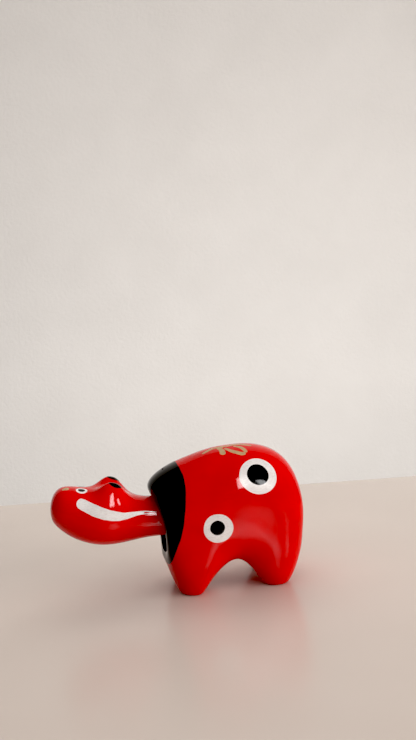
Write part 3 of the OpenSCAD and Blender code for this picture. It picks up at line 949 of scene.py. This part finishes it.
def stage_sheet(name, corners, mat):
    """Flat sheet between four corners."""
    n = 8
    a, b, c, d = [np.array(p, float) for p in corners]
    s = np.linspace(0, 1, n)
    pts = [(a * (1 - i) + b * i) * (1 - j) + (d * (1 - i) + c * i) * j for j in s for i in s]
    mesh = bpy.data.meshes.new(name)
    mesh.from_pydata((np.array(pts) * MM).tolist(), [], quads(n, n))
    mesh.materials.append(mat)
    obj = bpy.data.objects.new(name, mesh)
    scene.collection.objects.link(obj)


# the table ends on a slanting line behind the cow, and the wall stands a metre beyond it
along = np.array([345.1, -57.6, 0.0])
along /= np.linalg.norm(along)
towards = np.array([along[1], -along[0], 0])
MEET = np.array([53.4, 213.9, 0.0])
HALF_TABLE, TABLE_DEPTH, WALL_BEYOND, WALL_FOOT, WALL_HEAD = 1600, 1400, 1000, -1500, 3000
L, R = MEET - along * HALF_TABLE, MEET + along * HALF_TABLE
near = towards * TABLE_DEPTH
stage_sheet("table", [L + near, R + near, R, L], FLOOR)
far = -towards * WALL_BEYOND
foot, head = np.array([0, 0, WALL_FOOT]), np.array([0, 0, WALL_HEAD])
stage_sheet("wall", [L + far + foot, R + far + foot, R + far + head, L + far + head], WALL)


# ---------------------------------------------------------------- lights
def area(name, at, aim, width, height, power, colour, glossy, diffuse):
    data = bpy.data.lights.new(name, "AREA")
    data.shape = "RECTANGLE"
    data.size = width
    data.size_y = height
    data.energy = power
    data.color = colour
    obj = bpy.data.objects.new(name, data)
    obj.location = at
    obj.rotation_euler = (Vector(aim) - Vector(at)).to_track_quat("-Z", "Y").to_euler()
    obj.visible_glossy = glossy
    obj.visible_diffuse = diffuse
    scene.collection.objects.link(obj)


# the room lights dimly, and shows pale past the wall's ends
world = bpy.data.worlds.new("room")
world.use_nodes = True
air = world.node_tree
dim = air.nodes["Background"]
dim.inputs["Color"].default_value = (1.0, 0.97, 0.94, 1)
dim.inputs["Strength"].default_value = 0.16
pale = node(air, "ShaderNodeBackground", Color=(0.62, 0.57, 0.53, 1), Strength=1.0)
seen = air.nodes.new("ShaderNodeMixShader")
air.links.new(air.nodes.new("ShaderNodeLightPath").outputs["Is Camera Ray"], seen.inputs[0])
air.links.new(dim.outputs[0], seen.inputs[1])
air.links.new(pale.outputs[0], seen.inputs[2])
air.links.new(seen.outputs[0], air.nodes["World Output"].inputs["Surface"])
scene.world = world

WARM, NEUTRAL, COOL = (1, 0.975, 0.95), (1, 0.98, 0.96), (0.98, 0.99, 1.0)
COW = (0, 0, 0.05)
# soft lamps light without showing in the lacquer; the two window panes only show in it
for name, at, aim, width, height, power, colour in (
        ("soft_right", (1.30, -0.72, 0.36), (0, 0, 0.04), 0.9, 0.9, 14.0, WARM),
        ("soft_front", (0.70, -1.2, 0.45), (0, 0, 0.1), 0.9, 0.9, 5.6, NEUTRAL),
        ("ceiling", (0.0, 0.0, 1.6), (0, 0.1, 0), 2.4, 2.4, 14.0, NEUTRAL),
        ("table_wash", (0.05, 0.36, 0.55), (-0.08, 0.15, 0), 0.5, 0.5, 1.1, NEUTRAL),
        ("wall_wash", (0.15, 0.35, -0.30), (0.2, 1.25, -0.45), 1.6, 1.6, 7.3, (1, 0.985, 0.965))):
    area(name, at, aim, width, height, power, colour, False, True)
area("window_a", (0.228, -0.95, 0.56), COW, 0.19, 0.46, 4.2, COOL, True, False)
area("window_b", (0.596, -0.97, 0.50), COW, 0.15, 0.24, 1.5, COOL, True, False)

scene.view_settings.view_transform = "Standard"
scene.view_settings.look = "None"
# deep blacks lose their last haze
scene.view_settings.use_curve_mapping = True
scene.view_settings.curve_mapping.black_level = (0.02, 0.02, 0.02)
scene.view_settings.curve_mapping.update()

# ---------------------------------------------------------------- camera
CAMERA_AT = (-0.05423, -0.43718, 0.15939)
YAW, PITCH, ROLL = math.radians(-10), math.radians(5), math.radians(4)

cam = bpy.data.cameras.new("camera")
cam.sensor_width = 36
cam.lens = 38.92
cam.clip_start = 0.01
cam.clip_end = 20
eye = bpy.data.objects.new("camera", cam)
level = np.array([-math.sin(YAW), math.cos(YAW), 0])
right = np.array([math.cos(YAW), math.sin(YAW), 0])
forward = level * math.cos(PITCH) - np.array([0, 0, math.sin(PITCH)])
upward = np.array([0, 0, math.cos(PITCH)]) + level * math.sin(PITCH)
cam_x = right * math.cos(ROLL) - upward * math.sin(ROLL)
cam_y = upward * math.cos(ROLL) + right * math.sin(ROLL)
eye.matrix_world = Matrix([[cam_x[i], cam_y[i], -forward[i], CAMERA_AT[i]] for i in range(3)]
                          + [[0, 0, 0, 1]])
scene.collection.objects.link(eye)
scene.camera = eye

bpy.context.view_layer.update()
